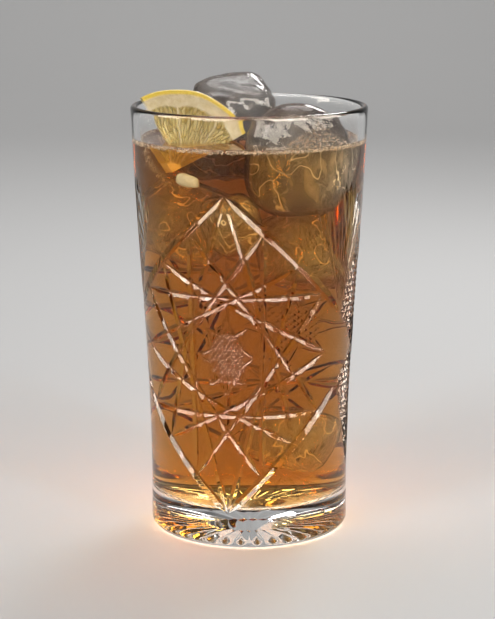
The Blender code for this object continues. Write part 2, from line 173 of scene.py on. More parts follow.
class Finish:
    """One material with a Principled shader, and the means to wire nodes into it."""

    def __init__(self, name, values):
        self.material = bpy.data.materials.new(name)
        self.material.use_nodes = True
        self.tree = self.material.node_tree
        self.shader = self.tree.nodes["Principled BSDF"]
        self.output = self.tree.nodes["Material Output"]
        self.set(values)

    def node(self, kind, settings=None, sockets=None, output=0):
        """A node of that type; its settings are made first, then its sockets are fed."""
        new = self.tree.nodes.new(kind)
        for key, value in (settings or {}).items():
            setattr(new, key, value)
        for key, value in (sockets or {}).items():
            self.feed(new.inputs[key], value)
        return Wire(self, new.outputs[output])

    def feed(self, socket, value):
        """Link a wire to a socket, or set the socket's own value."""
        if isinstance(value, Wire):
            self.tree.links.new(value.socket, socket)
        elif isinstance(value, tuple) and socket.type == "RGBA":
            socket.default_value = (*value, 1.0)
        else:
            socket.default_value = value

    def set(self, values):
        """Values or wires for the shader's own sockets."""
        for key, value in values.items():
            self.feed(self.shader.inputs[key], value)

    def millimetres(self, stretch=(1.0, 1.0, 1.0)):
        """Object coordinates in millimetres, stretched along the axes if wanted."""
        place = self.node("ShaderNodeTexCoord", output=3)
        scale = tuple(1 / MM * part for part in stretch)
        return self.node("ShaderNodeMapping", sockets={"Vector": place, "Scale": scale})

    def noise(self, vector, scale, detail=2.0, distortion=0.0):
        sockets = {"Vector": vector, "Scale": scale, "Detail": detail, "Distortion": distortion}
        return self.node("ShaderNodeTexNoise", sockets=sockets)

    def stored(self, name):
        """A value that the mesh keeps for every point."""
        return self.node("ShaderNodeAttribute", {"attribute_name": name}, output=2)

    def mix(self, factor, first, second):
        """A colour between two colours."""
        return self.node("ShaderNodeMix", {"data_type": "RGBA"}, {0: factor, 6: first, 7: second}, output=2)

    def bump(self, height, distance, strength=1.0):
        sockets = {"Height": height, "Distance": distance, "Strength": strength}
        return self.node("ShaderNodeBump", sockets=sockets)

    def absorb(self, colour, density):
        """Light is soaked up evenly inside the piece."""
        inside = self.node("ShaderNodeVolumeAbsorption", sockets={"Color": colour, "Density": density})
        self.tree.links.new(inside.socket, self.output.inputs["Volume"])

    def pass_lamps(self, tint):
        """Lamps shine through to what is inside, tinted, and cast no black shadow."""
        shadow_ray = self.node("ShaderNodeLightPath", output=1)
        clear = self.node("ShaderNodeBsdfTransparent", sockets={"Color": tint})
        own = Wire(self, self.shader.outputs["BSDF"])
        both = self.node("ShaderNodeMixShader", sockets={0: shadow_ray, 1: own, 2: clear})
        self.tree.links.new(both.socket, self.output.inputs["Surface"])

    def paint(self, piece, slot):
        """Put the material on a piece. The slot argument is not used."""
        piece.data.materials.clear()
        piece.data.materials.append(self.material)


# %% [markdown]
# The glass starts as a turned shape. Its outside follows one cubic through four measured
# widths, a little hollow in the middle and flared at the rim, and its inside is a straight
# taper, as a pressing tool leaves it.

# %% Turned shape of the glass
GLASS_HEIGHT = 146 * MM
WALL_HEIGHTS = np.array((18, 66, 118, 146)) * MM
WALL_RADII = np.array((34.0, 35.6, 38.75, 40.05)) * MM
WALL_CUBIC = np.polyfit(WALL_HEIGHTS, WALL_RADII, 3)
FOOT_CORNER_R = 3.0 * MM
FOOT_FLAT_R = 29.0 * MM
LIP_INNER_R = 37.7 * MM
FLOOR_R = 29.6 * MM
FLOOR_Z = 12.4 * MM
FLOOR_CORNER_R = 4.0 * MM
DRINK_TOP_Z = 134.0 * MM
COLUMNS = 240
STAR_DIRECTION = math.radians(-102)


def wall_radius(z):
    """Outer radius of the uncut wall: the cubic at that height."""
    return np.polyval(WALL_CUBIC, z)


def bore_radius(z):
    """Inner radius: a straight line from the lip down to the floor."""
    share = (z - FLOOR_Z) / (GLASS_HEIGHT - FLOOR_Z)
    return FLOOR_R + (LIP_INNER_R - FLOOR_R) * share


def turned(radii, heights, columns=COLUMNS):
    """A profile carried round the axis: each radius and height becomes a circle of points.

    Both may also be given for every point of every circle, as rows of the two arrays.
    """
    angle = STAR_DIRECTION + 2 * math.pi * np.arange(columns) / columns
    radii, heights = np.broadcast_arrays(radii, heights)
    if radii.ndim == 1:
        radii, heights = [np.repeat(v[:, None], columns, axis=1) for v in (radii, heights)]
    points = np.stack([radii * np.cos(angle), radii * np.sin(angle), heights], axis=2)
    return points.reshape(-1, 3)


def arc(centre_r, centre_z, radius, start, end, steps):
    """Radii and heights along an arc of the profile, between two angles in degrees."""
    angles = np.radians(np.linspace(start, end, steps + 1))
    return centre_r + radius * np.cos(angles), centre_z + radius * np.sin(angles)


print("wall at mid height, mm:", round((wall_radius(0.073) - bore_radius(0.073)) / MM, 2))

# %% [markdown]
# The cuts are drawn flat, in millimetres from the centre of a star: s round the wall and t up
# it. Every cut is a V with flanks of one slope, so its depth at a point is that slope times
# how far the point lies inside the cut's edge. Where cuts cross, the deeper one counts. An even
# grid would need a million faces to draw slanting edges without steps. So the flat pattern is
# triangulated along its own lines: the bottoms, the edges and the hips where flanks meet.

# %% Drawing the cuts
PATTERN_R = 35.7
PANEL_S = PATTERN_R * math.pi / 2
PATTERN_T = (-56.0, 60.0)
STAR_CENTRE_Z = 66.5
CUT_SLOPE = 0.62
TINY = 1e-9
SHORTEST_HIP = 0.03


class Cuts:
    """Straight pieces of V-shaped cut, each a row of two ends and a half width at each end."""

    def __init__(self):
        self.rows = []

    def piece(self, start, end, start_width, end_width):
        self.rows.append((*start, *end, start_width, end_width))

    def stroke(self, start, end, width, taper, end_taper=None):
        """A cut that opens from a point, runs at its full half width and closes to a point."""
        start, end = np.array(start, float), np.array(end, float)
        length = np.linalg.norm(end - start)
        end_taper = taper if end_taper is None else end_taper
        squeeze = min(1.0, length / (taper + end_taper))
        near = start + (end - start) * taper * squeeze / length
        far = end - (end - start) * end_taper * squeeze / length
        self.piece(start, near, 0.0, width * squeeze)
        if squeeze == 1.0:
            self.piece(near, far, width, width)
        self.piece(far, end, width * squeeze, 0.0)

    def finish(self):
        """Mirror the rows at the star's axis and at the panel's, and drop those out of reach."""
        rows = np.array(self.rows)
        flip = rows * (-1, 1, -1, 1, 1, 1)
        over = flip + (2 * PANEL_S, 0, 2 * PANEL_S, 0, 0, 0)
        rows = np.concatenate([rows, flip, over])
        lowest, highest = np.minimum(rows[:, 0], rows[:, 2]), np.maximum(rows[:, 0], rows[:, 2])
        rows = rows[(highest > -2) & (lowest < PANEL_S + 2)]
        swap = rows[:, [2, 3, 0, 1, 5, 4]]
        upright = abs(rows[:, 0] - rows[:, 2]) < 1e-6
        later = (rows[:, 0] > rows[:, 2] + 1e-6) | (upright & (rows[:, 1] > rows[:, 3]))
        rows = np.where(later[:, None], swap, rows)
        rows = np.unique(np.round(rows, 5), axis=0)
        self.start, end = rows[:, 0:2], rows[:, 2:4]
        self.width, self.growth = rows[:, 4], rows[:, 5] - rows[:, 4]
        self.length = np.linalg.norm(end - self.start, axis=1)
        self.along = (end - self.start) / self.length[:, None]
        self.across = np.stack([-self.along[:, 1], self.along[:, 0]], axis=1)
        self.growth = self.growth / self.length

    def depth(self, points):
        """The slope times the largest spare width: half width less distance to the middle."""
        deepest = np.zeros(len(points))
        for part in np.array_split(np.arange(len(points)), max(1, len(points) // 4000)):
            offset = points[part, None, :] - self.start
            run = np.clip((offset * self.along).sum(axis=2), 0, self.length)
            away = np.linalg.norm(offset - self.along * run[:, :, None], axis=2)
            deepest[part] = (self.width + self.growth * run - away).max(axis=1)
        return CUT_SLOPE * np.clip(deepest, 0, None)

    def lines(self):
        """The bottom and both edges of every piece, as an array of segments."""
        end = self.start + self.along * self.length[:, None]
        last = self.width + self.growth * self.length
        sides = [np.stack([self.start + self.across * self.width[:, None] * side,
                           end + self.across * last[:, None] * side], axis=1) for side in (-1, 0, 1)]
        return np.concatenate(sides)

    def hips(self):
        """Where flanks of two pieces meet at one depth, as an array of segments.

        Each flank's depth is a linear function of the point, so two are equal along a line.
        That line is clipped by eight more linear functions: the two ends, the bottom and the
        edge of both pieces.
        """
        one, two = np.triu_indices(len(self.length), 1)
        turn = np.abs(self.along[one, 0] * self.along[two, 1] - self.along[one, 1] * self.along[two, 0])
        one, two = one[turn > 0.01], two[turn > 0.01]
        found = []
        for side_one in (-1, 1):
            for side_two in (-1, 1):
                limits = []
                for pick, side in ((one, side_one), (two, side_two)):
                    along, across, start = self.along[pick], self.across[pick] * side, self.start[pick]
                    run_at, away_at = -(along * start).sum(axis=1), -(across * start).sum(axis=1)
                    growth = self.growth[pick, None]
                    limits.append((along, run_at))
                    limits.append((-along, self.length[pick] - run_at))
                    limits.append((across, away_at))
                    limits.append((growth * along - across,
                                   self.width[pick] + growth[:, 0] * run_at - away_at))
                slope = limits[3][0] - limits[7][0]
                level = limits[3][1] - limits[7][1]
                size = (slope ** 2).sum(axis=1)
                usable = size > 1e-6
                slope, level, size = slope[usable], level[usable], size[usable]
                origin = -slope * (level / size)[:, None]
                way = np.stack([-slope[:, 1], slope[:, 0]], axis=1) / np.sqrt(size)[:, None]
                low, high = np.full(len(size), -1e3), np.full(len(size), 1e3)
                for vector, offset in limits:
                    rate = (vector[usable] * way).sum(axis=1)
                    value = (vector[usable] * origin).sum(axis=1) + offset[usable]
                    with np.errstate(divide="ignore", invalid="ignore"):
                        place = -value / rate
                    low = np.where(rate > TINY, np.maximum(low, place), low)
                    high = np.where(rate < -TINY, np.minimum(high, place), high)
                    high = np.where((abs(rate) <= TINY) & (value < -1e-6), low - 1, high)
                long = high - low > SHORTEST_HIP
                ends = [origin[long] + way[long] * place[long, None] for place in (low, high)]
                found.append(np.stack(ends, axis=1))
        return np.concatenate(found)


# %% [markdown]
# The star has sixteen points on an upright lozenge. Each point is joined by a cut to the sixth
# one on, which leaves an oval button free in the middle, and the button holds a small star of
# eight points. A wide frame runs from the star's top and bottom to two corners on the side
# panel, where a fan of nine petals opens upwards and two lozenges hang on the panel's axis.

# %% Laying out the pattern
STAR_TIPS = ((35.5, 0.0), (33.0, 20.0), (23.5, 30.3), (12.0, 41.8), (0.0, 54.0))
STAR_SKIP = 6
STAR_CUT = (1.05, 6.0)
FRAME_CUT = (1.4, 5.0)
PANEL_CUT = (0.9, 3.0)
BUTTON_CUT = (0.5, 2.0)
BUTTON_TIP = (9.3, 14.0)
BUTTON_SKIP = 3
BUTTON_HATCH = (5.6, 8.4)
BUTTON_PITCH = (1.5, 2.2)
FRAME_NODE = (42.0, 12.5)
FAN_RAYS = 9
FAN_TOP_S = (29.5, 54.0)
FAN_TOP_T = (50.0, 57.0)
FAN_CUT = (1.45, 40.0, 5.0)
LOZENGE_TOP_T, LOZENGE_WAIST_T, LOZENGE_LOW_T = 40.5, -1.5, -43.5
HATCH_PITCH = (3.0, 4.3)
HATCH_CUT_SHARE = 0.5
HATCH_CUTS, HATCH_REACH = 30, 60.0


def star_tips(quarter):
    """All the points of a star in order round it, from those between its side and its top."""
    half = list(quarter) + [(-s, t) for s, t in quarter[-2::-1]]
    return half + [(s, -t) for s, t in half[-2:0:-1]]


def clip_to_hull(start, end, corners):
    """The part of a segment inside a convex outline whose corners go round anticlockwise."""
    low, high = 0.0, 1.0
    start, end = np.array(start, float), np.array(end, float)
    for here, after in zip(corners, corners[1:] + corners[:1]):
        inward = np.array((here[1] - after[1], after[0] - here[0]), float)
        value, rate = inward @ (start - here), inward @ (end - start)
        if abs(rate) < TINY:
            if value < 0:
                return None
        elif rate > 0:
            low = max(low, -value / rate)
        else:
            high = min(high, -value / rate)
    return (start + (end - start) * low, start + (end - start) * high) if high - low > 0.02 else None


def hatch(cuts, corners, origin, pitch):
    """Crossed cuts that leave sharp diamonds: two slanting families over a convex outline."""
    half_s, half_t = pitch[0] / 2, pitch[1] / 2
    slant = math.hypot(half_s, half_t)
    width = half_s * half_t / slant * HATCH_CUT_SHARE * 2
    for side in (-1, 1):
        way = np.array((half_s * side, half_t)) / slant
        for number in range(-HATCH_CUTS, HATCH_CUTS + 1):
            middle = np.array(origin) + (number * pitch[0], 0.0)
            part = clip_to_hull(middle - way * HATCH_REACH, middle + way * HATCH_REACH, corners)
            if part is not None:
                cuts.piece(*part, width, width)


def lay_out():
    """The star, its button, the frame, the fans and the hatched lozenges."""
    cuts = Cuts()
    (button_s, button_t), eighth = BUTTON_TIP, math.sqrt(0.5)
    button = ((button_s, 0.0), (button_s * eighth, button_t * eighth), (0.0, button_t))
    for tips, skip, cut in ((STAR_TIPS, STAR_SKIP, STAR_CUT), (button, BUTTON_SKIP, BUTTON_CUT)):
        ring = star_tips(tips)
        for index, tip in enumerate(ring):
            cuts.stroke(tip, ring[(index + skip) % len(ring)], *cut)
    turn = [math.radians(30 * number) for number in range(12)]
    oval = [(BUTTON_HATCH[0] * math.cos(angle), BUTTON_HATCH[1] * math.sin(angle)) for angle in turn]
    hatch(cuts, oval, (0.0, 0.0), BUTTON_PITCH)
    node_s, node_t = FRAME_NODE
    for level in (1, -1):
        cuts.stroke((0.0, level * STAR_TIPS[-1][1]), (node_s, level * node_t), *FRAME_CUT)
    waist = (PANEL_S, LOZENGE_WAIST_T)
    for level, end_t in ((1, LOZENGE_TOP_T), (-1, LOZENGE_LOW_T)):
        corner = (node_s + 1.5, level * node_t)
        cuts.stroke((PANEL_S, end_t), corner, *PANEL_CUT)
        cuts.stroke(corner, waist, *PANEL_CUT)
        across = (2 * PANEL_S - corner[0], corner[1])
        outline = [(PANEL_S, end_t), corner, waist, across]
        hatch(cuts, outline if level == 1 else outline[::-1], waist, HATCH_PITCH)
    share = np.linspace(0, 1, FAN_RAYS)
    tops_s = FAN_TOP_S[0] + (FAN_TOP_S[1] - FAN_TOP_S[0]) * share
    tops_t = FAN_TOP_T[0] + (FAN_TOP_T[1] - FAN_TOP_T[0]) * (1 - (2 * share - 1) ** 2)
    for top in zip(tops_s, tops_t):
        cuts.stroke((node_s, node_t + 1.0), top, *FAN_CUT)
    cuts.finish()
    return cuts


cuts = lay_out()
print("pieces of cut in a quarter:", len(cuts.length))

# %% [markdown]
# A quarter of the band, from the star's axis to the panel's, is triangulated twice. The first
# time every line is an edge, which shows where the slope really changes. The second time only
# those creases are kept, the longer ones with a line close by on either side, and an even
# lattice of points fills the flats, so that the wall stays round between the cuts.
#
# Polished edges are never sharp, and their roundness is what draws a bright line along every
# cut: somewhere on it the surface faces a lamp. So depth and slope are means over a small
# circle round each point. On a flat they change nothing, and across a crease they blend the
# two flanks. The slope is kept, to become the surface's normal there.

# %% Triangulating a quarter of the cut band
LATTICE_STEP = 1.6
CREASE = 0.02
ROUNDING = 0.17
SHORTEST_RIM, SHORTEST_INNER = 0.3, 1.8
ONE_POINT = 0.02
SAME_HEADING, SAME_LINE, TOUCHING = 0.004, 0.02, 2e-3


def clip_to_quarter(segments):
    """The parts of the segments that lie between the two mirror lines."""
    start, step = segments[:, 0], segments[:, 1] - segments[:, 0]
    rate = np.where(abs(step[:, 0]) < TINY, TINY, step[:, 0])
    at_low, at_high = (0 - start[:, 0]) / rate, (PANEL_S - start[:, 0]) / rate
    low = np.clip(np.minimum(at_low, at_high), 0, 1)
    high = np.clip(np.maximum(at_low, at_high), 0, 1)
    keep = (high - low) * np.linalg.norm(step, axis=1) > 1e-3
    ends = [start[keep] + step[keep] * place[keep, None] for place in (low, high)]
    return np.stack(ends, axis=1)


def triangulate(points, segments, nearness=1e-4):
    """Triangles over all the points, with every segment an edge; points that near are one."""
    corners = np.concatenate([points, segments.reshape(-1, 2)])
    edges = len(points) + np.arange(len(segments) * 2).reshape(-1, 2)
    flat = [Vector(corner) for corner in corners.tolist()]
    found, _, faces, _, _, _ = delaunay_2d_cdt(flat, edges.tolist(), [], 0, nearness)
    found, faces = np.array([corner[:] for corner in found]), np.array(faces)
    corner_s = found[:, 0][faces]
    on_side = (corner_s.max(axis=1) < 1e-3) | (corner_s.min(axis=1) > PANEL_S - 1e-3)
    return found, faces[~on_side]


def creases(points, faces, depth):
    """The edges between two triangles whose slopes differ, as segments."""
    corner = np.column_stack([points, depth])[faces]
    normal = np.cross(corner[:, 1] - corner[:, 0], corner[:, 2] - corner[:, 0])
    slope = normal[:, :2] / np.where(abs(normal[:, 2:]) < TINY, TINY, normal[:, 2:])
    edges = np.sort(np.concatenate([faces[:, [0, 1]], faces[:, [1, 2]], faces[:, [2, 0]]]), axis=1)
    owner = np.tile(np.arange(len(faces)), 3)
    order = np.lexsort((edges[:, 1], edges[:, 0]))
    edges, owner = edges[order], owner[order]
    twin = np.flatnonzero((edges[1:] == edges[:-1]).all(axis=1))
    change = np.abs(slope[owner[twin]] - slope[owner[twin + 1]]).max(axis=1)
    return points[edges[twin[change > CREASE]]]


def unbroken(segments):
    """Segments that continue each other along one line, joined into one."""
    start, step = segments[:, 0], segments[:, 1] - segments[:, 0]
    backward = (step[:, 0] < -1e-6) | ((abs(step[:, 0]) <= 1e-6) & (step[:, 1] < 0))
    step = step * np.where(backward, -1, 1)[:, None]
    along = step / np.linalg.norm(step, axis=1)[:, None]
    heading = np.round(np.arctan2(along[:, 1], along[:, 0]) / SAME_HEADING)
    offset = np.round((along[:, 0] * start[:, 1] - along[:, 1] * start[:, 0]) / SAME_LINE)
    places = (segments * along[:, None]).sum(axis=2)
    order = np.lexsort((places.min(axis=1), offset, heading))
    segments, places, heading, offset = segments[order], places[order], heading[order], offset[order]
    first, last = places.argmin(axis=1), places.argmax(axis=1)
    row = np.arange(len(order))
    low, high = places[row, first], places[row, last]
    off_line = (heading[1:] != heading[:-1]) | (offset[1:] != offset[:-1])
    begins = np.flatnonzero(np.r_[True, off_line | (low[1:] > high[:-1] + TOUCHING)])
    ends = np.r_[begins[1:], len(order)] - 1
    return np.stack([segments[begins, first[begins]], segments[ends, last[ends]]], axis=1)


def bent(segments):
    """The same segments in parts no longer than the lattice step, to follow the round wall."""
    start, step = segments[:, 0], segments[:, 1] - segments[:, 0]
    count = np.maximum(np.ceil(np.abs(step[:, 0]) / LATTICE_STEP), 1).astype(int)
    owner = np.repeat(np.arange(len(count)), count)
    place = np.arange(len(owner)) - np.repeat(np.cumsum(count) - count, count)
    ends = [start[owner] + step[owner] * ((place + late) / count[owner])[:, None] for late in (0, 1)]
    return np.stack(ends, axis=1)


def beside(segments):
    """Copies of the segments a little to the left and to the right."""
    step = segments[:, 1] - segments[:, 0]
    across = np.stack([-step[:, 1], step[:, 0]], axis=1) / np.linalg.norm(step, axis=1)[:, None]
    return np.concatenate([segments + across[:, None] * ROUNDING * side for side in (-1, 1)])


def rounded(cuts, points):
    """Mean depth over a small circle round each point, and the mean slope across it."""
    turn = 2 * math.pi * np.arange(8) / 8
    ways = np.stack([np.cos(turn), np.sin(turn)], axis=1)
    depths = np.stack([cuts.depth(points + way * ROUNDING / 2) for way in ways])
    slope = (depths[:, :, None] * ways[:, None, :]).mean(axis=0) * 4 / ROUNDING
    return depths.mean(axis=0), slope


def band_quarter(cuts):
    """Flat points, triangles, depths and slopes of the quarter."""
    low, high = PATTERN_T
    border_s = PANEL_S * np.arange(COLUMNS // 4 + 1) / (COLUMNS // 4)
    border = np.concatenate([np.column_stack([border_s, np.full(len(border_s), t)]) for t in PATTERN_T])
    segments = clip_to_quarter(np.concatenate([cuts.lines(), cuts.hips()]))
    points, faces = triangulate(border, segments)
    kept = creases(points, faces, cuts.depth(points))
    across, up = round(PANEL_S / LATTICE_STEP), round((high - low) / LATTICE_STEP)
    lattice = np.stack(np.meshgrid(np.arange(across + 1) * PANEL_S / across,
                                   low + np.arange(1, up) * (high - low) / up, indexing="ij"), axis=2)
    whole = unbroken(kept)
    is_rim = cuts.depth(whole.mean(axis=1)) < 0.01
    length = np.linalg.norm(whole[:, 1] - whole[:, 0], axis=1)
    rounded_off = whole[length > np.where(is_rim, SHORTEST_RIM, SHORTEST_INNER)]
    lines = clip_to_quarter(bent(np.concatenate([whole, beside(rounded_off)])))
    points, faces = triangulate(np.concatenate([border, lattice.reshape(-1, 2)]), lines, ONE_POINT)
    return points, faces, *rounded(cuts, points)


flat_points, flat_faces, flat_depth, flat_slope = band_quarter(cuts)
print("quarter of the band:", len(flat_faces), "triangles, deepest cut, mm:", round(flat_depth.max(), 2))

# %% [markdown]
# The quarter is wrapped four times round the wall, twice as it is and twice mirrored. Circles
# of points close it: over the lip and down the bore above, and round the foot below, where
# thirty flutes run in towards the middle like the rays of a sun. They rise from the ridges and
# are deepest almost halfway in. The mirror of the clear finish is turned down, so that the pale
# studio lays less of a veil over the drink.

# %% The glass
FLUTES = 30
FLUTE_RIDGE_Z = 0.5 * MM
FLUTE_VALLEY_Z = 2.2 * MM
FLUTE_OUT_R = 28.3 * MM
FLUTE_RISE, FLUTE_FADE, RIDGE_LIFT = 0.45, 0.65, 0.3
FLUTE_IN_R = 9.5 * MM
GLASS_TINT, GLASS_IOR = (0.985, 0.99, 0.985), 1.5


def wrapped(points, depth, slope, mirror, turn):
    """Flat points carried round the wall, and the outward normal at each.

    s becomes an angle, t a height, and the depth is taken off the radius. The normal leans
    with the wall and with the slope of the relief.
    """
    angle = STAR_DIRECTION + turn + mirror * points[:, 0] / PATTERN_R
    cos, sin = np.cos(angle), np.sin(angle)
    height = (STAR_CENTRE_Z + points[:, 1]) * MM
    radius = wall_radius(height) - depth * MM
    aside = slope[:, 0] * mirror * PATTERN_R / (wall_radius(height) / MM - depth)
    lean = np.polyval(np.polyder(WALL_CUBIC), height)
    normal = np.column_stack([cos - aside * sin, sin + aside * cos, slope[:, 1] - lean])
    return (np.column_stack([radius * cos, radius * sin, height]),
            normal / np.linalg.norm(normal, axis=1)[:, None])


def sunburst():
    """Radii and heights under the base: a wave round the axis.

    From the outer end it swells as a quarter of a sine, then fades evenly to the middle.
    """
    share = np.linspace(0, 1, 24)
    radius = FLUTE_OUT_R + (FLUTE_IN_R - FLUTE_OUT_R) * share
    swell = np.sin(np.clip(share / FLUTE_RISE, 0, 1) * math.pi / 2) * (1 - FLUTE_FADE * share)
    turn = 2 * math.pi * FLUTES * np.arange(COLUMNS) / COLUMNS
    wave = 1 - np.abs(((turn / math.pi) % 2) - 1)
    lift = wave * swell[:, None] + RIDGE_LIFT * share[:, None]
    height = FLUTE_RIDGE_Z + (FLUTE_VALLEY_Z - FLUTE_RIDGE_Z) * lift
    return np.repeat(radius[:, None], COLUMNS, axis=1), height


def glass_mesh():
    """Points, faces and normals of the glass: four quarters of band, the bottom and the top."""
    points, faces, normals = [], [], []
    for turn in (0.0, math.pi):
        for mirror in (1, -1):
            faces.append(flat_faces[:, ::mirror] + sum(len(p) for p in points))
            band, outward = wrapped(flat_points, flat_depth, flat_slope, mirror, turn)
            points.append(band)
            normals.append(outward)
    low_z, high_z = [(STAR_CENTRE_Z + t) * MM for t in PATTERN_T]
    foot_r = wall_radius(FOOT_CORNER_R) - FOOT_CORNER_R
    lip_r = (wall_radius(GLASS_HEIGHT) - LIP_INNER_R) / 2
    lip_z = GLASS_HEIGHT - lip_r
    corner_z = FLOOR_Z + FLOOR_CORNER_R
    plain_low = np.linspace(low_z, FOOT_CORNER_R, 4)
    plain_high = np.linspace(high_z, lip_z, 9)[:-1]
    bore_z = np.concatenate([np.linspace(lip_z, DRINK_TOP_Z, 6)[1:],
                             np.linspace(DRINK_TOP_Z, corner_z, 26)[1:-1]])
    bottom = [(wall_radius(plain_low)[:-1], plain_low[:-1]),
              arc(foot_r, FOOT_CORNER_R, FOOT_CORNER_R, 0, -90, 8),
              ([FOOT_FLAT_R], [0.0]), sunburst()]
    top = [(wall_radius(plain_high), plain_high),
           arc(LIP_INNER_R + lip_r, lip_z, lip_r, 0, 180, 14),
           (bore_radius(bore_z), bore_z),
           arc(bore_radius(corner_z) - FLOOR_CORNER_R, corner_z, FLOOR_CORNER_R, 0, -90, 8)]
    for part in (bottom, top):
        rings = np.concatenate([turned(radii, heights) for radii, heights in part])
        first = sum(len(p) for p in points)
        count = len(rings) // COLUMNS
        faces.append(joined_rings(count, COLUMNS, first))
        faces.append([first + (count - 1) * COLUMNS + np.arange(COLUMNS)])
        points.append(rings)
        normals.append(np.zeros((len(rings), 3)))
    return np.concatenate(points), faces, np.concatenate(normals)


def shade_by(mesh, names):
    """Take normals from three stored values; where all are zero the mesh's own stay."""
    normals = np.zeros((len(mesh.vertices), 3), "f")
    for axis, name in enumerate(names):
        part = np.zeros(len(mesh.vertices), "f")
        mesh.attributes[name].data.foreach_get("value", part)
        normals[:, axis] = part
        mesh.attributes.remove(mesh.attributes[name])
    mesh.normals_split_custom_set_from_vertices(normals.tolist())


def clear_finish(name, colour, ior, shine=(1.0, 1.0, 1.0), roughness=0.0):
    """A clear finish: its colour dims what is seen through it, and shine is its mirror's tint."""
    return Finish(name, {"Base Color": colour, "Roughness": roughness, "IOR": ior,
                         "Transmission Weight": 1.0, "Specular Tint": shine})


glass_points, glass_faces, glass_normals = glass_mesh()
glass = make_piece("cut_glass", glass_points, glass_faces, replaced="glass", sharp_angle=40,
                   values=dict(zip("xyz", glass_normals.T)))
shade_by(glass.data, "xyz")
glass_finish = clear_finish("clear_pressed_glass", GLASS_TINT, GLASS_IOR, (0.45, 0.45, 0.45))
swell = glass_finish.noise(glass_finish.millimetres((1.0, 1.0, 0.45)), 0.11, detail=1.0)
glass_finish.set({"Normal": glass_finish.bump(swell, 0.05 * MM)})
glass_finish.pass_lamps((0.90, 0.91, 0.90))
glass_finish.paint(glass, "clear_glass")

# %% [markdown]
# Where liquid touches glass there is hardly a mirror, since the two bend light nearly alike.
# A renderer that meets the faces one by one sees two mirrors there, each as strong as one in
# air, and they would lay a grey veil over the drink. So the wet part of the bore has a finish
# of its own, which bends light as before and mirrors a fifth of what bare glass would.

# %% Wet part of the bore
def wet_faces(mesh):
    """True for every face of the bore that lies below the drink's level."""
    centre = np.empty(len(mesh.polygons) * 3)
    mesh.polygons.foreach_get("center", centre)
    centre = centre.reshape(-1, 3)
    inside = np.hypot(centre[:, 0], centre[:, 1]) < bore_radius(centre[:, 2]) + 0.1 * MM
    return inside & (centre[:, 2] < DRINK_TOP_Z) & (centre[:, 2] > FLOOR_Z - 0.1 * MM)


wet_finish = clear_finish("wet_glass", GLASS_TINT, GLASS_IOR, (0.2, 0.2, 0.2))
wet_finish.pass_lamps((0.98, 0.98, 0.98))
glass.data.materials.append(wet_finish.material)
wet = wet_faces(glass.data)
glass.data.polygons.foreach_set("material_index", wet.astype(int))
print("wet faces of the bore:", int(wet.sum()))

# %% [markdown]
# The lumps of ice are blocks worn round by the drink. Along each direction from the middle
# the radius is that of a superellipsoid, and slow waves bend it. Fine furrows run over it,
# because melting ice is never flat, and they break its highlights into streaks. The lumps
# differ in how square they are and in how deep their furrows run. How near a point lies to a
# rounded edge is stored, since frost gathers there. The two lumps that stand out of the drink
# let through only half the light, a tint that is painted shade and darkens them. Ice that lies
# wholly in the drink has a clearer finish, or it would dim the drink behind it.

# %% Ice
ICE_BACK = dict(centre=(-5.5, 13.0, 137.5), half=(13.2, 11.6, 15.2), turn=(0.40, -0.07, 0.29), seed=1.0,
                furrow=0.42)
ICE_RIGHT = dict(centre=(16.2, -11.0, 129.4), half=(16.8, 9.5, 18.9), turn=(-0.20, 0.0, -0.05), seed=4.0,
                 squareness=2.5, furrow=0.10)
SUNK_ICE = (
    dict(centre=(-15.0, 7.5, 106.5), half=(11.0, 10.0, 13.0), turn=(0.2, 0.3, 0.3), seed=2.0),
    dict(centre=(15.0, 8.0, 97.0), half=(13.0, 11.5, 13.0), turn=(-0.3, 0.2, 0.9), seed=5.0),
    dict(centre=(-4.5, -17.0, 109.5), half=(8.0, 8.0, 9.5), turn=(0.5, -0.3, 0.2), seed=3.0),
    dict(centre=(11.0, 0.0, 32.0), half=(12.0, 9.0, 10.0), turn=(0.1, 0.35, 0.5), seed=7.0),
)


def lump_grid(meridians, parallels):
    """Unit directions over a ball, row by row, and then its two poles."""
    lon = 2 * math.pi * np.arange(meridians) / meridians
    lat = math.pi * (np.arange(1, parallels) / parallels - 0.5)
    lat, lon = [grid.ravel() for grid in np.meshgrid(lat, lon, indexing="ij")]
    way = np.column_stack([np.cos(lat) * np.cos(lon), np.cos(lat) * np.sin(lon), np.sin(lat)])
    return np.vstack([way, [(0, 0, -1), (0, 0, 1)]])


def lump(centre, half, turn, seed, squareness=4.0, furrow=0.16, margin=0.0, share=1.0, grid=(112, 72)):
    """Points of a lump, and how near each lies to a rounded edge, from 0 to 1.

    The radius is where the coordinates over the half sizes, raised to the squareness, sum to
    one, times slow waves, plus furrows. On a face one of those terms is nearly the whole sum,
    and on an edge two are equal, which tells faces from edges.
    """
    way = lump_grid(*grid)
    half = np.array(half) * MM
    terms = np.abs(way / half) ** squareness
    size = terms.sum(axis=1) ** (-1 / squareness)
    wave = (np.sin(2.3 * way[:, 0] + 1.9 * way[:, 1] + seed)
            + np.sin(2.9 * way[:, 1] - 2.1 * way[:, 2] + 1.7 * seed)
            + 0.6 * np.sin(4.7 * way[:, 2] + 3.9 * way[:, 0] + 2.3 * seed))
    radius = size * (1 + 0.045 * wave)
    flat = way * radius[:, None] / MM
    along = flat @ np.array((0.55, 0.30, 0.78)) + 1.6 * np.sin(0.35 * flat[:, 1] + seed)
    groove = np.sin(1.5 * along + 0.8 * np.sin(0.5 * flat[:, 0] + seed))
    groove = groove * (0.6 + 0.4 * np.sin(0.3 * flat[:, 2]))
    radius = (radius + furrow * MM * groove) * share + margin
    edge = np.clip(2 * (1 - terms.max(axis=1) / terms.sum(axis=1)), 0, 1)
    return placed(way * radius[:, None], turn, np.array(centre) * MM), edge


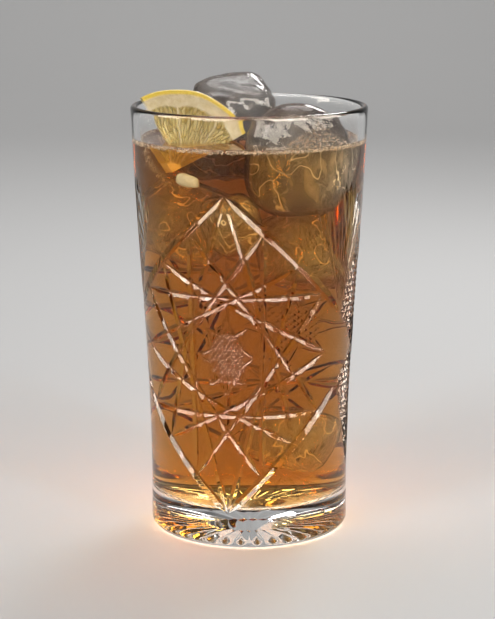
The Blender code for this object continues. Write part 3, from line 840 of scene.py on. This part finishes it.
def lump_faces(meridians=112, parallels=72, first=0):
    """Quads between the parallels and a fan of triangles at each pole."""
    here = np.arange(meridians)
    after = (here + 1) % meridians
    south = (parallels - 1) * meridians
    top = (parallels - 2) * meridians
    fans = [np.column_stack([np.full(meridians, south), after, here]) + first,
            np.column_stack([np.full(meridians, south + 1), top + here, top + after]) + first]
    return [joined_rings(parallels - 1, meridians, first), *fans]


def lumps_piece(name, lumps, replaced=None, **how):
    """One piece from several lumps, each with its edge values."""
    grid = how.get("grid", (112, 72))
    made = [lump(**one, **how) for one in lumps]
    count = len(made[0][0])
    faces = [group for i in range(len(made)) for group in lump_faces(*grid, first=i * count)]
    points = np.concatenate([points for points, _ in made])
    edges = np.concatenate([edge for _, edge in made])
    return make_piece(name, points, faces, replaced, 80, {"edge": edges})


def ice_finish(name, tint):
    """Rippled clear ice that dims what is seen through it by its tint."""
    finish = clear_finish(name, tint, 1.31, roughness=0.02)
    ripple = finish.noise(finish.millimetres((1.0, 1.0, 0.6)), 0.30, detail=4.0, distortion=0.8)
    finish.set({"Normal": finish.bump(ripple, 0.30 * MM)})
    finish.pass_lamps((0.88, 0.90, 0.91))
    return finish


# The standing lumps' half tint is painted shade that darkens them; the sunk ice stays clear.
standing_shaded_finish = ice_finish("clear_ice", (0.50, 0.487, 0.478))
sunk_finish = ice_finish("sunk_ice", (0.84, 0.82, 0.79))
clear_ice = []
for name, lumps, replaced, finish in (("ice_back_lump", (ICE_BACK,), "ice_back", standing_shaded_finish),
                                      ("ice_right_lump", (ICE_RIGHT,), "ice_right", standing_shaded_finish),
                                      ("sunk_ice", SUNK_ICE, None, sunk_finish)):
    clear_ice.append(lumps_piece(name, lumps, replaced))
    finish.paint(clear_ice[-1], "clear_ice")

# %% [markdown]
# Inside clear ice a veil of trapped air follows the outside at a short distance, thicker along
# the edges and torn into wisps on the faces. It is a shell inside each lump whose opacity comes
# from stretched noise, much cheaper than thousands of tiny bubbles. It is a grey cloud, densest
# just below the surface and thin deep in the drink. Above the surface it is a dark grey sheet,
# painted shade that darkens the two standing lumps. Under the surface pale cracks cross it: thin
# lines along which a slow noise passes its middle value.

# %% Frost and painted shade inside the ice
FROST_AND_SHADE_SHARE = 0.93
SURFACE, CLOUDY_TO = (130.0, 136.0), (113.0, 121.0)
CRACK_WIDTH = (0.003, 0.011)
MOST_VEIL = 0.85
frost_and_shade = lumps_piece("ice_frost_and_painted_shade", (ICE_BACK, ICE_RIGHT, *SUNK_ICE), share=FROST_AND_SHADE_SHARE, grid=(64, 40))
frost_and_shade_finish = Finish("frost_and_painted_shade_in_ice", {"Roughness": 0.6})
place = frost_and_shade_finish.millimetres((1.0, 1.0, 0.35))
wisps = frost_and_shade_finish.noise(place, 0.22, detail=5.0, distortion=1.2).step(0.45, 0.78)
line = frost_and_shade_finish.noise(frost_and_shade_finish.millimetres((1.0, 1.0, 0.7)), 0.12, detail=1.5, distortion=0.6) - 0.5
edge = frost_and_shade_finish.stored("edge").step(0.45, 1.0)
height = frost_and_shade_finish.node("ShaderNodeSeparateXYZ", sockets={"Vector": frost_and_shade_finish.millimetres()}, output=2)
sunk = 1 - height.step(*SURFACE)
cracks = (1 - line.math("ABSOLUTE", line).step(*CRACK_WIDTH)) * sunk
cloudy = sunk * height.step(*CLOUDY_TO)
veil = 0.42 + wisps * 0.22 + edge * wisps * 0.20 + cloudy * 0.20
veil = veil - (sunk - cloudy) * 0.28 + cracks * 0.5
# Above the surface the shell is dark grey: painted shade that darkens the standing lumps.
painted_shade_above = frost_and_shade_finish.mix(wisps, (0.060, 0.053, 0.049), (0.21, 0.187, 0.170))
cloud_below = frost_and_shade_finish.mix(wisps, (0.11, 0.088, 0.076), (0.27, 0.230, 0.205))
cloud_and_painted_shade = frost_and_shade_finish.mix(sunk, painted_shade_above, cloud_below)
frost_and_shade_finish.set({"Alpha": veil.math("MINIMUM", veil, MOST_VEIL),
                  "Base Color": frost_and_shade_finish.mix(cracks, cloud_and_painted_shade, (0.62, 0.58, 0.54))})
frost_and_shade_finish.paint(frost_and_shade, "clear_ice")

# %% [markdown]
# A quarter slice of lemon stands in the drink on its inner corner. It is one closed surface.
# Its profile runs from that corner over the front to the rind, across the rind and back over
# the back, and is carried round from one cut to the other. The flesh is relief: each juice
# sac is the neighbourhood of one seed on a jittered grid of angle and radius, so the sacs fan
# out from the middle, as they grow. The two cuts are closed by flat sheets.

# %% Lemon
LEMON_AT = np.array((-22.1, -9.6, 125.1)) * MM
LEMON_R = 27.7 * MM
LEMON_NARROWING = 0.13
LEMON_HALF_THICK = 3.3 * MM
LEMON_EDGE_R = 0.8 * MM
LEMON_CUT_ANGLE = math.radians(119.5)
LEMON_SPAN = math.radians(90.5)
LEMON_TURN = (math.radians(-8), 0.0, math.radians(9))
RIND, PITH, CORE = 1.6, 3.4, 3.0
SEGMENT = math.radians(43)
FIRST_MEMBRANE = math.radians(95)
SACS_A_RADIAN, SAC_LENGTH = 15.0, 3.4
SAC_HEIGHT = 0.50 * MM
FACE_SUNK = 0.35 * MM


def scattered(u, v, seed):
    """Distances to the nearest and second nearest seed of a jittered grid, and a number for it."""
    near, second, tone = np.full(u.shape, 9.0), np.full(u.shape, 9.0), np.zeros(u.shape)
    for step_u in (-1, 0, 1):
        for step_v in (-1, 0, 1):
            cell_u, cell_v = np.floor(u) + step_u, np.floor(v) + step_v
            draw = [(np.sin(cell_u * a + cell_v * b + seed) * 43758.5) % 1
                    for a, b in ((12.99, 78.23), (39.35, 11.14), (73.16, 52.24))]
            away = np.hypot(u - cell_u - 0.1 - 0.8 * draw[0], v - cell_v - 0.1 - 0.8 * draw[1])
            closer = away < near
            second = np.where(closer, near, np.minimum(second, away))
            near = np.where(closer, away, near)
            tone = np.where(closer, draw[2], tone)
    return near, second, tone


def lemon_flesh(radius, reach, angle, seed):
    """Relief of the cut face, and what its material needs, each from 0 to 1.

    The height is that of the sacs, with a dip along their borders and none on the membranes,
    the core and the pith.
    """
    flat, limit = radius / MM, reach / MM - RIND - PITH
    near, second, tone = scattered(angle * SACS_A_RADIAN, flat / SAC_LENGTH + 0.9 * np.sin(angle * 9), seed)
    border = np.clip(1 - (second - near) / 0.3, 0, 1)
    turn = (angle - FIRST_MEMBRANE) / SEGMENT
    side = np.abs(turn - np.round(turn)) * SEGMENT * flat
    membrane = np.clip(1 - side / 0.4, 0, 1)
    core = np.clip(1 - (flat - CORE) / 0.8, 0, 1)
    rounding = 0.9 * np.abs(2 * (turn - np.floor(turn)) - 1) ** 4
    in_flesh = np.clip((limit - rounding - flat) / 0.6, 0, 1)
    sacs = in_flesh * (1 - membrane) * (1 - core)
    height = SAC_HEIGHT * sacs * (1 - 1.5 * border ** 2)
    return height, {"border": border * sacs, "tone": tone, "sacs": sacs,
                    "membrane": np.maximum(membrane * in_flesh, core)}


def lemon_mesh(rows=90, columns=150, rim_steps=5, side_steps=6):
    """Points, faces and stored values of the slice."""
    half = LEMON_HALF_THICK
    bend = np.radians(np.linspace(0, 90, rim_steps + 1))[1:]
    plain = np.linspace(0, 1, rows)
    share_out = np.concatenate([plain, np.ones(rim_steps)])
    extra = np.concatenate([np.zeros(rows), LEMON_EDGE_R * np.sin(bend)])
    depth = np.concatenate([np.full(rows, half), half - LEMON_EDGE_R * (1 - np.cos(bend))])
    side = np.linspace(-1, 1, side_steps + 1)[1:-1] * (half - LEMON_EDGE_R)
    share_out = np.concatenate([share_out, np.ones(len(side)), share_out[::-1]])[:, None]
    extra = np.concatenate([extra, np.full(len(side), LEMON_EDGE_R), extra[::-1]])[:, None]
    depth = np.concatenate([-depth, side, depth[::-1]])[:, None]
    sweep = np.linspace(0, 1, columns)
    angle = LEMON_CUT_ANGLE - LEMON_SPAN * sweep
    reach = LEMON_R * (1 - LEMON_NARROWING * sweep) * (1 + 0.004 * np.sin(17 * sweep))
    radius = share_out * (reach - LEMON_EDGE_R) + extra
    front = depth < 0
    height, values = lemon_flesh(radius, reach, angle + np.where(front, 0.0, 0.2), 1.0)
    face = np.abs(depth) > half - 1e-7
    sunk = np.clip((reach - radius) / MM - 1, 0, 1) * np.clip(radius / MM / 0.5, 0, 1)
    depth = depth - np.where(face, np.sign(depth) * (FACE_SUNK - height) * sunk, 0)
    points = np.stack([radius * np.cos(angle), depth, radius * np.sin(angle)], axis=2)
    values["ring"] = radius / reach
    count, half_count = len(points), rows + rim_steps
    grids, faces = [points], [joined_rings(count, columns, closed=False)]
    stored = {key: [grid] for key, grid in values.items()}
    first = count * columns
    for column in (0, columns - 1):
        near, far = points[:half_count, column], points[-half_count:, column][::-1]
        share = np.linspace(0, 1, side_steps + 1)[None, :, None]
        grids.append(near[:, None] + (far - near)[:, None] * share)
        faces.append(joined_rings(half_count, side_steps + 1, first, closed=False))
        first += half_count * (side_steps + 1)
        for key, grid in values.items():
            stored[key].append(np.repeat(grid[:half_count, column, None], side_steps + 1, axis=1))
    points = placed(np.concatenate([grid.reshape(-1, 3) for grid in grids]), LEMON_TURN, LEMON_AT)
    return points, faces, {key: np.concatenate([grid.ravel() for grid in parts])
                           for key, parts in stored.items()}


lemon_points, lemon_faces, lemon_values = lemon_mesh()
lemon = make_piece("lemon_quarter_slice", lemon_points, lemon_faces, "lemon_slice", 50, lemon_values)
lemon_finish = Finish("lemon", {"Roughness": 0.30, "Coat Weight": 0.7, "Coat Roughness": 0.06,
                                "Subsurface Weight": 0.25, "Subsurface Radius": (0.9, 0.6, 0.2),
                                "Subsurface Scale": 3 * MM})
place = lemon_finish.millimetres()
juice = lemon_finish.mix(lemon_finish.stored("tone"), (0.25, 0.185, 0.045), (0.38, 0.295, 0.115))
# Painted shade: the juice is darker along the borders of the sacs, where the relief dips.
juice = lemon_finish.mix(lemon_finish.stored("border") * 0.4, juice, (0.26, 0.18, 0.04))
pale = lemon_finish.mix(lemon_finish.noise(place, 0.5).step(0.3, 0.7), (0.42, 0.34, 0.19), (0.50, 0.42, 0.27))
skin = lemon_finish.mix(lemon_finish.noise(place, 1.6).step(0.3, 0.7), (0.52, 0.37, 0.03), (0.60, 0.45, 0.06))
body = lemon_finish.mix(lemon_finish.stored("sacs"), pale, juice)
body = lemon_finish.mix(lemon_finish.stored("membrane") * 0.6, body, pale)
rind_from = 1 - RIND * MM / LEMON_R
in_skin = lemon_finish.stored("ring").step(rind_from - 0.012, rind_from + 0.012)
lemon_finish.set({"Base Color": lemon_finish.mix(in_skin, body, skin)})
pores = lemon_finish.noise(place, 1.3, detail=3.0)
lemon_finish.set({"Normal": lemon_finish.bump(pores, 0.25 * MM)})
lemon_finish.paint(lemon, "lemon")

# %% [markdown]
# The drink fills the bore and reaches a fifth of a millimetre into the wall. With a film of
# air between, light would be reflected there, while a surface inside the glass bends it as
# glass against liquid does. Ice and lemon are cut out of it a little undersize for the same
# reason. Its colour is absorption, so it is pale where the drink is thin and deep where thick.

# %% Drink
REACH = 0.2 * MM
MENISCUS = 1.2 * MM
MENISCUS_REACH = 1.3 * MM
ICE_OVERLAP = 0.15 * MM
LEMON_OVERLAP = 0.75 * MM


def drink_mesh(columns=192):
    """The bore's profile, moved out a little, closed by a surface that climbs at the wall."""
    corner_z = FLOOR_Z + FLOOR_CORNER_R
    corner_r = bore_radius(corner_z) - FLOOR_CORNER_R
    round_r, round_z = arc(corner_r, corner_z, FLOOR_CORNER_R + REACH, -90, 0, 8)
    side_z = np.linspace(corner_z, DRINK_TOP_Z + MENISCUS, 24)[1:]
    side_r = bore_radius(side_z) + REACH
    inward = np.array((0.5, 0.9, 1.4, 2.0, 2.8, 3.8, 5.5, 9.0)) * MM
    top_r = side_r[-1] - inward
    top_z = DRINK_TOP_Z + MENISCUS * np.exp(-(inward - REACH) / MENISCUS_REACH)
    radii = np.concatenate([round_r, side_r, top_r])
    heights = np.concatenate([round_z, side_z, top_z])
    points = turned(radii, heights, columns)
    count = len(radii)
    caps = [[np.arange(columns)], [(count - 1) * columns + np.arange(columns)]]
    return points, [joined_rings(count, columns), *caps]


def hollowed(piece, rooms):
    """Cut closed meshes out of a piece for good, and drop the cutters."""
    for index, (points, faces) in enumerate(rooms):
        mesh, _ = plain_mesh(f"room_{index}", points, faces)
        room = bpy.data.objects.new(mesh.name, mesh)
        bpy.context.collection.objects.link(room)
        cut = piece.modifiers.new(room.name, "BOOLEAN")
        cut.operation = "DIFFERENCE"
        cut.object = room
    bpy.context.view_layer.update()
    mesh = bpy.data.meshes.new_from_object(piece.evaluated_get(bpy.context.evaluated_depsgraph_get()))
    rooms = [cut.object for cut in piece.modifiers]
    piece.modifiers.clear()
    piece.data = mesh
    for room in rooms:
        bpy.data.objects.remove(room, do_unlink=True)


def lemon_room(margin):
    """A plain quarter disc in the lemon's place, drawn in by a margin all round."""
    share = np.linspace(0, 1, 49)
    angles = LEMON_CUT_ANGLE - LEMON_SPAN * share
    middle = LEMON_CUT_ANGLE - LEMON_SPAN / 2
    inward = np.array([math.cos(middle), math.sin(middle)]) * margin * math.sqrt(2)
    reach = LEMON_R * (1 - LEMON_NARROWING * share) - margin * 2.5
    arc_points = np.column_stack([np.cos(angles), np.sin(angles)]) * reach[:, None]
    flat = np.vstack([(0, 0), arc_points]) + inward
    half = LEMON_HALF_THICK - margin
    rings = [np.column_stack([flat[:, 0], np.full(len(flat), y), flat[:, 1]]) for y in (-half, half)]
    count = len(flat)
    return (placed(np.concatenate(rings), LEMON_TURN, LEMON_AT),
            [joined_rings(2, count), [np.arange(count)], [count + np.arange(count)]])


drink = make_piece("gin_sling", *drink_mesh(), replaced="drink", sharp_angle=40)
ice_rooms = [(lump(**one, margin=-ICE_OVERLAP)[0], lump_faces()) for one in (ICE_BACK, ICE_RIGHT, *SUNK_ICE)]
hollowed(drink, [*ice_rooms, lemon_room(LEMON_OVERLAP)])
print("drink, triangles:", sum(len(face.vertices) - 2 for face in drink.data.polygons))
drink_finish = clear_finish("amber_drink", (1.0, 1.0, 1.0), 1.34, (0.35, 0.25, 0.12))
drink_finish.absorb((0.88, 0.675, 0.14), 100.0)
drink_finish.pass_lamps((0.95, 0.93, 0.90))
drink_finish.paint(drink, "amber_drink")

# %% [markdown]
# A fine foam clings to the wall along the surface, a patch of it lies on the ice at the right,
# and small bubbles line the left cut of the lemon. Each bubble is a small ball of eighty faces.
# All balls of a kind are one mesh: the points of one template, scaled and moved as arrays.

# %% Foam and bubbles
def ball_template():
    """Points and faces of a small round ball."""
    work = bmesh.new()
    bmesh.ops.create_icosphere(work, subdivisions=2, radius=1.0)
    points = np.array([vert.co[:] for vert in work.verts])
    faces = np.array([[vert.index for vert in face.verts] for face in work.faces])
    work.free()
    return points, faces


BALL_POINTS, BALL_FACES = ball_template()


def balls(name, centres, radii):
    """Balls at given centres: the template times each radius, plus each centre."""
    points = centres[:, None, :] + BALL_POINTS * radii[:, None, None]
    faces = BALL_FACES + len(BALL_POINTS) * np.arange(len(centres))[:, None, None]
    return make_piece(name, points.reshape(-1, 3), [faces.reshape(-1, 3)], sharp_angle=90, merge=0)


def foam_ring(draw, count):
    """Centres and radii of foam that hugs the wall at the surface."""
    angle = draw.uniform(0, 2 * math.pi, count)
    radii = draw.uniform(0.12, 0.30, count) * MM
    inward = radii + draw.exponential(0.40, count) * MM
    climb = MENISCUS * np.exp(-inward / MENISCUS_REACH)
    height = DRINK_TOP_Z + climb - draw.uniform(-0.15, 1.0, count) * MM
    radius = bore_radius(height) - inward
    return np.column_stack([radius * np.cos(angle), radius * np.sin(angle), height]), radii


def foam_on_ice(draw, count):
    """Foam on the right lump: a patch of its front between the surface and two slopes."""
    points = lump(**ICE_RIGHT, grid=(300, 180))[0]
    x, y, z = points.T / MM
    inside = (y < -12) & (z > 133.4) & (z < 134 + 0.65 * (x - 11.4)) & (z < 141.4 - 0.75 * (x - 22.8))
    points = points[inside]
    centres = points[draw.integers(0, len(points), count)] + draw.normal(0, 0.12, (count, 3)) * MM
    return centres, draw.uniform(0.10, 0.22, count) * MM


def foam_on_lemon(draw, count):
    """Small bubbles caught along the left cut of the slice and round its inner corner."""
    line = np.array(((-32.2, -15, 133.0), (-30.5, -15, 129.1), (-26.9, -14, 125.4), (-23.6, -14, 121.8),
                     (-19.8, -14, 120.2), (-16.5, -14, 120.8)))
    place = draw.uniform(0, len(line) - 1, count)
    centres = np.stack([np.interp(place, np.arange(len(line)), line[:, axis]) for axis in range(3)], axis=1)
    centres = (centres + draw.normal(0, (0.8, 0.5, 0.8), (count, 3))) * MM
    return centres, draw.uniform(0.08, 0.24, count) * MM


draw = np.random.default_rng(5)
foam_finish = Finish("foam", {"Base Color": (0.26, 0.195, 0.145), "Roughness": 0.25, "Coat Weight": 0.5})
foam_finish.set({"Alpha": foam_finish.noise(foam_finish.millimetres(), 0.8).step(0.35, 0.65) * 0.5 + 0.4})
for name, scatter, count in (("foam", foam_ring, 2300), ("foam_on_ice", foam_on_ice, 1100),
                             ("foam_on_lemon", foam_on_lemon, 420)):
    foam_finish.paint(balls(name, *scatter(draw, count)), "amber_drink")

# %% [markdown]
# Below the slice hangs a torn piece of its white pith. It is a thin, flat lump with a rough
# bump, made by the ice's own formula. A torn sheet would be truer to it, but the piece is less
# than nine millimetres long, and a lump takes no new formula.

# %% Torn pith
PITH_PIECE = dict(centre=(-18.8, -26.9, 124.2), half=(4.3, 1.3, 2.1), turn=(0.0, 0.12, -0.5), seed=2.6,
                  squareness=3.0)
pith = lumps_piece("torn_pith", (PITH_PIECE,), grid=(96, 60))
pith_finish = Finish("pith", {"Base Color": (0.175, 0.152, 0.112), "Roughness": 0.55})
fibres = pith_finish.noise(pith_finish.millimetres(), 0.9, detail=3.0)
pith_finish.set({"Normal": pith_finish.bump(fibres, 0.3 * MM)})
pith_finish.paint(pith, "lemon")

# %% [markdown]
# The set is a pale floor that turns up into a pale wall, under soft lamps. Small lamps far
# brighter than the floor give cut glass its fire: each facet that mirrors one of them flashes.
# Large boxes draw bright lines along the longer cuts. They light only the glass and the ice,
# which keeps their light off the floor and the drink, and they are mirrored but not seen
# through the glass, or they would glow at its sides.

# %% Stage and lamps
def sweep_grid(columns=24, arc_steps=16):
    """A flat floor whose profile turns up behind along a quarter circle."""
    turn_y, turn_r, half_width, top = 1.1, 0.6, 3.0, 2.4
    bend = np.linspace(0, math.pi / 2, arc_steps + 1)
    profile_y = np.concatenate([[-2.0, -0.5, 0.0, 0.5], turn_y + turn_r * np.sin(bend), [turn_y + turn_r]])
    profile_z = np.concatenate([[0.0] * 4, turn_r * (1 - np.cos(bend)), [top]])
    across = np.linspace(-half_width, half_width, columns)
    yy, xx = np.meshgrid(profile_y, across, indexing="ij")
    zz = np.repeat(profile_z[:, None], columns, axis=1)
    return np.stack([xx, yy, zz], axis=2).reshape(-1, 3), joined_rings(len(profile_y), columns, closed=False)


floor_points, floor_faces = sweep_grid()
floor_mesh = bpy.data.meshes.new("floor")
floor_mesh.from_pydata(floor_points.tolist(), [], floor_faces.tolist())
floor_mesh.shade_smooth()
floor = bpy.data.objects.new("floor", floor_mesh)
bpy.context.collection.objects.link(floor)
floor_finish = Finish("pale_floor", {"Base Color": (0.42, 0.415, 0.41), "Roughness": 0.7})
floor.data.materials.append(floor_finish.material)

clear_pieces = bpy.data.collections.new("clear_pieces")
for piece in (glass, *clear_ice):
    clear_pieces.objects.link(piece)


def soft_lamp(name, place, aim, size, power, colour=(1.0, 1.0, 1.0), only=None):
    """A rectangular lamp at a place, facing another.

    One that lights only some pieces is mirrored in them but not seen through them.
    """
    data = bpy.data.lights.new(name, "AREA")
    data.shape, data.energy, data.color = "RECTANGLE", power, colour
    data.size, data.size_y = size
    lamp = bpy.data.objects.new(name, data)
    lamp.location = place
    lamp.rotation_euler = (Vector(aim) - Vector(place)).to_track_quat("-Z", "Y").to_euler()
    lamp.visible_camera = False
    lamp.visible_transmission = only is None
    lamp.light_linking.receiver_collection = only
    bpy.context.collection.objects.link(lamp)


GLASS_MIDDLE = (0, 0, 0.08)
LAMPS = (
    ("top", (0.0, 0.45, 1.30), (0, 0.85, 0.0), (0.9, 0.9), 10.0),
    ("wall", (0.0, 0.60, 1.60), (0, 1.70, 0.5), (1.2, 0.5), 9.0),
    ("key", (-0.50, -0.45, 0.60), GLASS_MIDDLE, (0.12, 0.12), 1.2, (1.0, 0.97, 0.93)),
    ("left_strip", (-0.42, -0.52, 0.42), GLASS_MIDDLE, (0.04, 0.70), 2.0),
    ("right_strip", (0.42, -0.52, 0.42), GLASS_MIDDLE, (0.04, 0.70), 2.0),
)
BOX_COLOUR = (1.0, 0.93, 0.82)
BOXES = (
    ("left_box", (-0.50, -0.62, 0.42), (0.56, 0.75), 29.0),
    ("right_box", (0.50, -0.62, 0.42), (0.56, 0.75), 29.0),
    ("left_side_box", (-0.78, -0.10, 0.42), (0.40, 0.75), 17.0),
    ("right_side_box", (0.78, -0.10, 0.42), (0.40, 0.75), 17.0),
    ("high_box", (0.0, -0.60, 0.80), (0.60, 0.30), 11.0),
)
for lamp in LAMPS:
    soft_lamp(*lamp)
for name, place, size, power in BOXES:
    soft_lamp(name, place, GLASS_MIDDLE, size, power, BOX_COLOUR, clear_pieces)
soft_lamp("back", (0.24, 0.50, 0.60), (0, 0, 0.10), (0.24, 0.12), 2.6)
print("lamps:", len(LAMPS) + len(BOXES) + 1)

world = bpy.data.worlds.new("studio")
world.use_nodes = True
background = world.node_tree.nodes["Background"]
background.inputs["Color"].default_value = (0.95, 0.97, 1.0, 1)
background.inputs["Strength"].default_value = 0.12
scene = bpy.context.scene
scene.world = world
scene.view_settings.view_transform = "Standard"
for limit in ("max_bounces", "transmission_bounces", "transparent_max_bounces"):
    setattr(scene.cycles, limit, 24)
